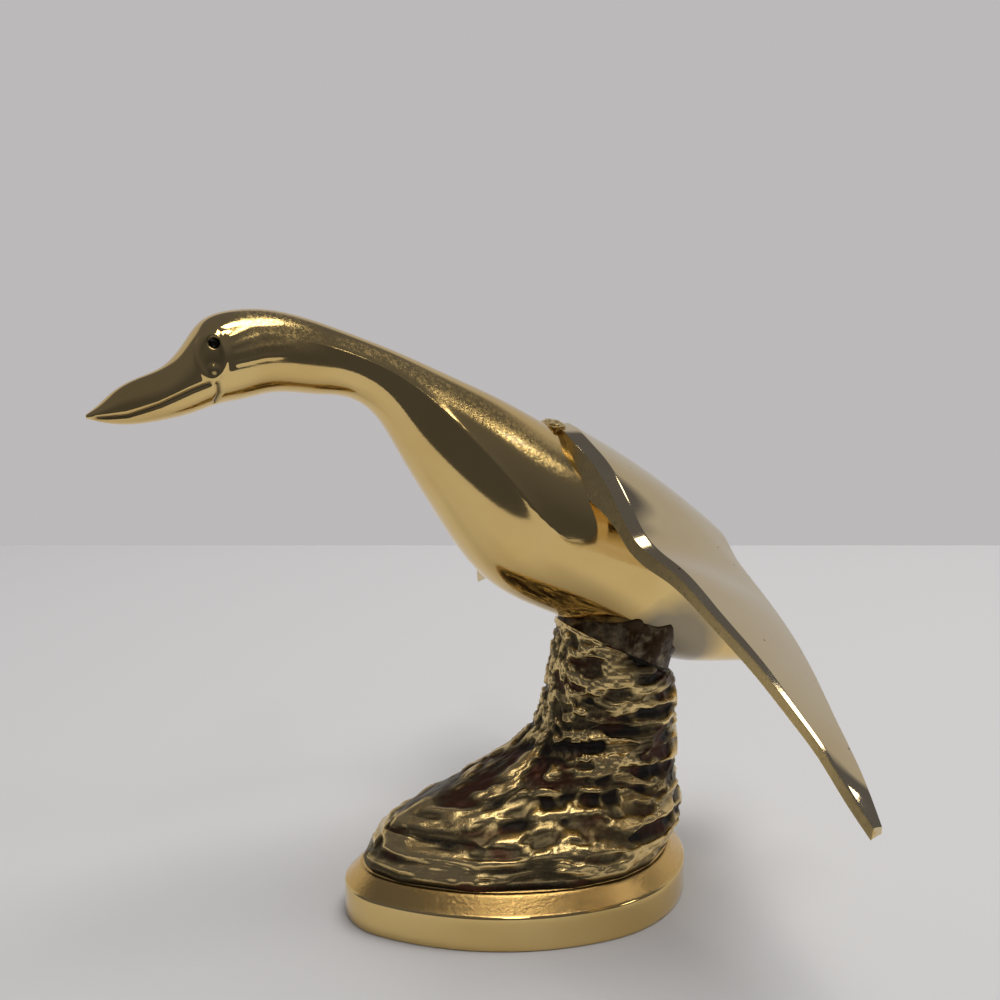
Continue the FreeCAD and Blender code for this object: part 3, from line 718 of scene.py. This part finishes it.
def rockCorners(front, rear, halfWidth, nose, carved=False, layer=0):
    # the corners where faces of steady directions meet, right round from the rear point
    middle = rear - halfWidth
    faces = []
    for number, (way, share) in enumerate(base["faces"]):
        along, across = math.cos(math.radians(way)), math.sin(math.radians(way))
        offset = halfWidth
        if way > 90:
            bow = ((middle - front) * -along) ** nose + (halfWidth * across) ** nose
            offset = bow ** (1 / nose)
        if carved and (number + layer) // base["carvedRun"] % 2:
            offset -= base["relief"] * share
        faces.append((along, across, middle * along + offset))
    corners = [(faces[0][2] / faces[0][0], 0)]
    for (along, across, offset), (nextAlong, nextAcross, nextOffset) in zip(faces, faces[1:]):
        turn = along * nextAcross - across * nextAlong
        corners.append((
            (offset * nextAcross - nextOffset * across) / turn,
            (nextOffset * along - offset * nextAlong) / turn,
        ))
    corners.append((faces[-1][2] / faces[-1][0], 0))
    return np.array(corners + [(x, -y) for x, y in corners[-2:0:-1]])


def footCorners(inset):
    half, wide = base["halfLength"], base["halfWidth"]
    return rockCorners(inset - half, half - inset, wide - inset, base["footNose"])


def levelCorners(shares, inset, layer=None):
    height, front, rear, width, nose = shares
    postX, postZ = base["post"]
    half, wide, post = base["halfLength"], base["halfWidth"], base["postLength"] / 2
    rim = postZ - post * math.sin(math.radians(base["postSlope"]))
    z = base["rockStart"] + (rim - base["rockStart"]) * height - inset
    carved = layer is not None and layer % 2 == 1
    corners = rockCorners(
        -half + (postX - post + half) * front + inset, half + (postX + post - half) * rear - inset,
        wide + (base["postWidth"] / 2 - wide) * width - inset, nose, carved, (layer or 0) // 2,
    )
    return np.column_stack([corners, np.full(len(corners), z)])


def layerShares(layer):
    table = np.array(base["profile"])
    height = table[0, 0] + (table[-1, 0] - table[0, 0]) * layer / (base["layers"] - 1)
    return [np.interp(height, table[:, 0], table[:, k]) for k in range(5)]


def columnSpread():
    # columns for each face in step with its length on the foot
    corners = footCorners(base["ledgeInset"])
    lengths = np.linalg.norm(np.roll(corners, -1, axis=0) - corners, axis=1)
    counts = np.round(base["columns"] * lengths / lengths.sum())
    counts = np.maximum(base["leastColumns"], counts).astype(int)
    part = np.concatenate([np.arange(count) / count for count in counts])
    return np.repeat(np.arange(len(corners)), counts), part


def spread(corners):
    # points along each face, evenly from corner to corner
    after = np.roll(corners, -1, axis=0)
    return corners[columnFace] + (after - corners)[columnFace] * columnPart[:, None]


def eggRing(inset):
    # the foot's egg at the same places round as the rock's columns
    rear, halfWidth = base["halfLength"] - inset, base["halfWidth"] - inset
    front, nose = -rear, base["toeRadius"] - inset
    centre, noseX = rear - halfWidth, front + nose
    reach = centre - noseX
    side = (reach * reach / (halfWidth - nose) + nose + halfWidth) / 2
    sink, lean = side - halfWidth, nose / (side - nose)
    touch = math.atan2(lean * sink, -lean * reach)
    meet = math.atan2(lean * sink + sink, -reach * (1 + lean))
    spans = [
        (centre, 0, halfWidth, 0, math.pi / 2), (centre, -sink, side, math.pi / 2, meet),
        (noseX, 0, nose, touch, math.pi),
    ]
    path = []
    for x, y, radius, start, end in spans:
        angle = np.linspace(start, end, base["arcSteps"])
        path.append(np.stack([x + radius * np.cos(angle), y + radius * np.sin(angle)], axis=-1))
    half = np.concatenate(path)
    whole = np.concatenate([half, half[::-1] * [1, -1]])
    run = np.concatenate([[0], np.cumsum(np.linalg.norm(np.diff(whole, axis=0), axis=1))])
    guide = spread(footCorners(inset))
    steps = np.linalg.norm(np.roll(guide, -1, axis=0) - guide, axis=1)
    at = np.concatenate([[0], np.cumsum(steps)[:-1]]) / steps.sum() * run[-1]
    return np.stack([np.interp(at, run, whole[:, 0]), np.interp(at, run, whole[:, 1])], axis=-1)


def atHeight(outline, z):
    return np.column_stack([outline, np.full(len(outline), z)])


def between(low, high, count):
    return [low + (high - low) * share for share in np.arange(1, count + 1) / count]


def scaled(ring, share):
    # the ring drawn in towards its middle
    return ring.mean(0) + (ring - ring.mean(0)) * share


def stumpRings():
    wall, edge = base["wall"], base["mouthEdge"]
    # the hollow's inside, from its top down to the mouth
    hollow = [spread(levelCorners(shares, wall)) for shares in base["profile"][1:-1:2]][::-1]
    hollow.append(atHeight(spread(footCorners(base["groove"] + wall)), base["ledgeTop"] - wall))
    hollow.append(atHeight(eggRing(wall), edge))
    rows = [scaled(hollow[0], base["hollowTop"])]
    for low, high in zip(hollow, hollow[1:]):
        rows += [low] + between(low, high, base["hollowRows"])[:-1]
    rows += [hollow[-1], atHeight(eggRing(wall - edge), 0)]
    hollowCount = len(rows)
    rows += [atHeight(eggRing(inset), z) for z, inset in base["foot"]]
    footCount = len(rows)
    # the outside, from the groove up the ledge and the rock to the post's sloped rim
    levels = [
        atHeight(spread(footCorners(base["groove"])), base["ledgeTop"]),
        atHeight(spread(footCorners(base["ledgeInset"])), base["rockStart"]),
    ]
    levels += [spread(levelCorners(layerShares(layer), 0, layer)) for layer in range(base["layers"])]
    counts = [base["ledgeRows"], base["firstRows"]] + [base["rowsPerLayer"]] * (base["layers"] - 1)
    slope, halfPost, (postX, postZ) = math.radians(base["postSlope"]), base["postLength"] / 2, base["post"]
    flat = spread(rockCorners(-halfPost, halfPost, base["postWidth"] / 2, base["postNose"]))
    rim = np.column_stack([
        postX + flat[:, 0] * math.cos(slope), flat[:, 1], postZ - flat[:, 0] * math.sin(slope)
    ])
    rows.append(levels[0])
    for low, high, count in zip(levels, levels[1:] + [rim], counts + [base["postRows"]]):
        rows += between(low, high, count)
    rows += [scaled(rim, share) for share in base["topShares"]]
    return np.array(rows), hollowCount, footCount


def softened(points, rounds):
    # each point moves towards its neighbours, and the first and last rings stay
    for _ in range(rounds):
        points = (2 * points + np.roll(points, 1, axis=1) + np.roll(points, -1, axis=1)) / 4
        inner = (points[:-2] + 2 * points[1:-1] + points[2:]) / 4
        points = np.concatenate([points[:1], inner, points[-1:]])
    return points


rock = {
    # rounds of smoothing before the fine carving, and to find what stands out
    "rounds": 5, "hillRounds": 60,
    # noises that wrap round the stump: mm of a cell round and up, and a seed
    "wrapAt": 12, "wrapRadius": 22, "warp": (9, 7, 3), "warpMm": 1.2, "faces": (6, 1.7, 7),
    "chips": (2.2, 0.9, 11), "chipShare": 0.4, "carvedEdge": (-0.5, 0.45), "carvedMm": 0.75,
    "grain": (1.2, 0.8, 17), "grainMm": 0.14, "start": (11.6, 14.5),
    # how bright wiping leaves it, and the painted shade just below the rear of the post's rim
    "carvedTone": 0.55, "hillTone": 0.45, "hillEdge": (-0.45, 0.35), "ledgeTone": 0.2,
    "lipEdge": (1.5, 0.9), "lipRun": (20, 14), "paintedShadeEdge": (7, 1.5), "paintedShadeRun": (14, 24), "paintedShade": 0.6,
}


def wrappedNoise(around, height, settings):
    wide, tall, seed = settings
    return latticeNoise(np.stack([around / wide, height / tall, 0 * height], axis=-1), seed)


def carveRock(points, footCount):
    # the carved points, and the tone from dark dips to bright ridges, darkened by painted shade below the
    # rear of the post's rim
    rimRow = -1 - len(base["topShares"])
    rockRows = slice(footCount + 1, rimRow + 1)
    points[rockRows] = softened(points[rockRows], rock["rounds"])
    normals = gridNormals(points)
    around = np.arctan2(points[..., 1], points[..., 0] - rock["wrapAt"]) * rock["wrapRadius"]
    height = points[..., 2]
    warped = height + rock["warpMm"] * wrappedNoise(around, height, rock["warp"])
    faces = wrappedNoise(around, warped, rock["faces"])
    chips = wrappedNoise(around, warped, rock["chips"])
    carved = 1 - smoothStep(*rock["carvedEdge"], faces + rock["chipShare"] * chips)
    grain = 1 + wrappedNoise(around, height, rock["grain"])
    isRock = np.zeros((len(points), 1))
    isRock[rockRows] = 1
    isRock = isRock * smoothStep(*rock["start"], height)
    hills = ((points - softened(points, rock["hillRounds"])) * normals).sum(-1)
    tone = rock["carvedTone"] * (1 - carved) + rock["hillTone"] * smoothStep(*rock["hillEdge"], hills)
    tone = tone * isRock + rock["ledgeTone"] * (1 - isRock)
    # a bright lip is left along the front of the post's rim
    below = np.linalg.norm(points - points[rimRow], axis=-1)
    lip = smoothStep(*rock["lipEdge"], below) * smoothStep(*rock["lipRun"], points[..., 0])
    depth = (rock["grainMm"] * grain + rock["carvedMm"] * carved * (1 - lip)) * isRock
    points = points - normals * depth[..., None]
    # painted shade: the rock is darkened just below the rear of the post's rim, where the solder and the
    # bird's belly overhang it
    paintedShade = smoothStep(*rock["paintedShadeEdge"], below) * smoothStep(*rock["paintedShadeRun"], points[..., 0])
    return points, np.maximum(tone * (1 - rock["paintedShade"] * paintedShade), lip), points[rimRow]


def makeStump():
    points, hollowCount, footCount = stumpRings()
    points, tone, rim = carveRock(points, footCount)
    # the polished band is 0, the ledge 1, the rock and the hollow 2
    slots = np.zeros(len(points) - 1, int)
    slots[hollowCount + base["bandRings"]:footCount] = 1
    slots[footCount:] = 2
    slots[:hollowCount - 1] = 2
    stump = ringMesh("stumpCasting", points * mm, slots, {"relief": tone})
    place(stump, [bodyBrass, ledgeBrass, rockBrass], "rock_brass", "rock_base")
    return rim


columnFace, columnPart = columnSpread()
postRim = makeStump()

# Joining metal

solderBed = {
    "skip": 5, "rows": 16, "seat": 0.05, "inset": 0.965, "waist": 0.3, "lowShares": (0.3, 0.65, 0.9),
    "topInset": 0.95, "topWander": 0.06, "topMm": 3.5, "topSeed": 13, "topShares": (0.85, 0.65, 0.4, 0.2),
    "lumpMm": 2.6, "lump": 0.55, "lumpSeed": 5, "fineMm": 0.9, "fine": 0.28, "fineSeed": 9,
}


def solderRings(settings):
    # from the post's rim up to the belly, squeezed out in lumps round the side
    rim = postRim[::settings["skip"]]
    slope = math.radians(base["postSlope"])
    up = np.array([math.sin(slope), 0, math.cos(slope)])
    mesh = birdPiece.data
    belly = BVHTree.FromPolygons([v.co for v in mesh.vertices], [f.vertices[:] for f in mesh.polygons])

    def bellyRow(share):
        flat = scaled(rim, share)
        reach = [belly.ray_cast(Vector(at) * mm, Vector(up))[3] or 0 for at in flat.tolist()]
        return flat + up * (np.array(reach) / mm + settings["seat"])[:, None]

    bottom = scaled(rim, settings["inset"])
    wander = latticeNoise(rim / settings["topMm"], settings["topSeed"])[:, None]
    top = bellyRow(settings["topInset"] + settings["topWander"] * wander)
    outward = (rim - rim.mean(0)) / np.linalg.norm(rim - rim.mean(0), axis=1, keepdims=True)
    rows = [scaled(rim, share) for share in settings["lowShares"]]
    for part in np.linspace(0, 1, settings["rows"]):
        row = bottom + (top - bottom) * part
        lump = settings["lump"] * latticeNoise(row / settings["lumpMm"], settings["lumpSeed"])
        lump += settings["fine"] * latticeNoise(row / settings["fineMm"], settings["fineSeed"])
        swell = math.sin(math.pi * part)
        rows.append(row + outward * ((lump - settings["waist"]) * swell)[:, None])
    rows += [bellyRow(share) for share in settings["topShares"]]
    return np.array(rows) * mm


solderPiece = ringMesh("solderBed", solderRings(solderBed))
place(solderPiece, [solderMetal], "soft_solder", "post_solder")

napeBead = {
    "rows": 60, "around": 90, "poleGap": 0.1, "lumps": 2.4, "rough": 0.22, "seed": 21,
    "fineLumps": 6.5, "fine": 0.09, "fineSeed": 22,
}


def beadRings(settings, node):
    # a bead of brazing metal, run rough
    low, high = (np.array(corner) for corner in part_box(node))
    gap = settings["poleGap"]
    polar = np.linspace(math.pi - gap, gap, settings["rows"])[:, None]
    turn = np.linspace(0, 2 * math.pi, settings["around"], endpoint=False)[None, :]
    ball = np.stack(
        [np.sin(polar) * np.cos(turn), np.sin(polar) * np.sin(turn), np.cos(polar) + 0 * turn], axis=-1
    )
    size = 1 + settings["rough"] * latticeNoise(ball * settings["lumps"], settings["seed"])
    size += settings["fine"] * latticeNoise(ball * settings["fineLumps"], settings["fineSeed"])
    return (low + high) / 2 + (high - low) / 2 * ball * size[..., None]


nub = ringMesh("napeBead", beadRings(napeBead, "nape_braze"))
place(nub, [edgeBrass], "braze_metal", "nape_braze")

# the beads under the wing roots keep their solids' meshes
for node in ("left_wing_braze", "right_wing_braze"):
    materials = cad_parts[node].data.materials
    materials.clear()
    materials.append(edgeBrass)
print("joining metal done")

# Surroundings

studio = {
    # the camera's turn in degrees, and two corners of the floor in mm
    "turn": 23, "floorLow": (-430, -230), "floorHigh": (560, 330),
    "floor": "#D9D8D7", "floorRoughness": 0.9, "backdrop": "#BCB9BA",
    # what the brass mirrors: the room up to its ceiling, and the pale wall's sides and top
    "room": [(0.0, "#4A4B54"), (0.5, "#60616B")], "wall": "#BAB7B5",
    "wallSide": [(0.16, 0.0), (0.30, 1.0)], "wallTop": [(0.56, 1.0), (0.66, 0.0)],
}


def makeFloor(settings):
    (x0, y0), (x1, y1) = settings["floorLow"], settings["floorHigh"]
    turn = Matrix.Rotation(math.radians(-settings["turn"]), 4, "Z")
    corners = [turn @ Vector((x * mm, y * mm, 0)) for x, y in ((x0, y0), (x1, y0), (x1, y1), (x0, y1))]
    mesh = bpy.data.meshes.new("floor")
    mesh.from_pydata(corners, [], [(0, 1, 2, 3)])
    floor = bpy.data.objects.new("floor", mesh)
    bpy.context.scene.collection.objects.link(floor)
    material, tree = newMaterial("pale floor")
    shader = addNode(
        tree, "ShaderNodeBsdfPrincipled",
        {"Base Color": linearHex(settings["floor"]), "Roughness": settings["floorRoughness"]},
    )
    addNode(tree, "ShaderNodeOutputMaterial", links={"Surface": (shader, 0)})
    mesh.materials.append(material)


def makeWorld(settings):
    # a dark room on the near side and a pale wall behind
    world = bpy.data.worlds.new("studio")
    bpy.context.scene.world = world
    world.use_nodes = True
    tree = world.node_tree
    tree.nodes.clear()
    coords = addNode(tree, "ShaderNodeTexCoord")
    turn = math.radians(settings["turn"])
    forward = addNode(
        tree, "ShaderNodeVectorMath", {"operation": "DOT_PRODUCT", 1: (math.sin(turn), math.cos(turn), 0)},
        {0: (coords, "Generated")},
    )
    wallSide = ramp(tree, forward, settings["wallSide"], output=1)
    rise = addNode(tree, "ShaderNodeSeparateXYZ", links={0: (coords, "Generated")})
    room = ramp(tree, rise, settings["room"], output=2)
    wallTop = ramp(tree, rise, settings["wallTop"], output=2)
    wallPart = addNode(
        tree, "ShaderNodeMath", {"operation": "MULTIPLY"}, {0: (wallSide, 0), 1: (wallTop, 0)}
    )
    mirrored = addNode(
        tree, "ShaderNodeMix", {"data_type": "RGBA", "B": linearHex(settings["wall"])},
        {"Factor": (wallPart, 0), "A": (room, 0)},
    )
    seen = addNode(tree, "ShaderNodeLightPath")
    shown = addNode(
        tree, "ShaderNodeMix", {"data_type": "RGBA", "B": linearHex(settings["backdrop"])},
        {"Factor": (seen, "Is Camera Ray"), "A": (mirrored, "Result")},
    )
    back = addNode(tree, "ShaderNodeBackground", {"Strength": 1.0}, {"Color": (shown, "Result")})
    addNode(tree, "ShaderNodeOutputWorld", links={"Surface": (back, 0)})


lamps = {
    # place, aim and size in metres, power in watts
    "ceiling": ((0.12, -0.2, 1.2), (0, 0, 0.05), (0.8, 0.25), 3.2, "#FFFBF4"),
    "window": ((0.80, -0.66, 0.86), (0, 0, 0.1), (0.26, 0.10), 0.5, "#FFF9EE"),
    "near lamp": ((-0.15, -0.56, 1.0), (0, 0, 0), (0.16, 0.10), 0.42, "#FFF6E6"),
    "fill": ((0.35, 0.1, 1.3), (0, 0, 0), (1.1, 0.9), 10.5, "#FFFFFF"),
}


def makeLamps(settings):
    for name, (at, aim, size, power, colour) in settings.items():
        light = bpy.data.lights.new(name, "AREA")
        light.shape = "RECTANGLE"
        light.size, light.size_y = size
        light.energy = power
        light.color = linearHex(colour)[:3]
        lamp = bpy.data.objects.new(name, light)
        bpy.context.scene.collection.objects.link(lamp)
        lamp.location = at
        # the fill softens shadows and isn't mirrored in the brass
        lamp.visible_glossy = name != "fill"
        lamp.rotation_euler = (Vector(aim) - Vector(at)).to_track_quat("-Z", "Y").to_euler()


# place and clip in metres, tilt in degrees, lens and sensor in mm
view = {"at": (-0.1127, -0.25656, 0.151), "tilt": 78.1, "lens": 46.8, "sensor": 36, "clip": 0.01}


def makeCamera(settings):
    camera = bpy.data.objects.new("camera", bpy.data.cameras.new("camera"))
    bpy.context.scene.collection.objects.link(camera)
    camera.location = settings["at"]
    camera.rotation_euler = Euler((math.radians(settings["tilt"]), 0, math.radians(-studio["turn"])))
    camera.data.lens = settings["lens"]
    camera.data.sensor_width = settings["sensor"]
    camera.data.clip_start = settings["clip"]
    bpy.context.scene.camera = camera
    bpy.context.scene.view_settings.view_transform = "Standard"


makeFloor(studio)
makeWorld(studio)
makeLamps(lamps)
makeCamera(view)
print("stage done")
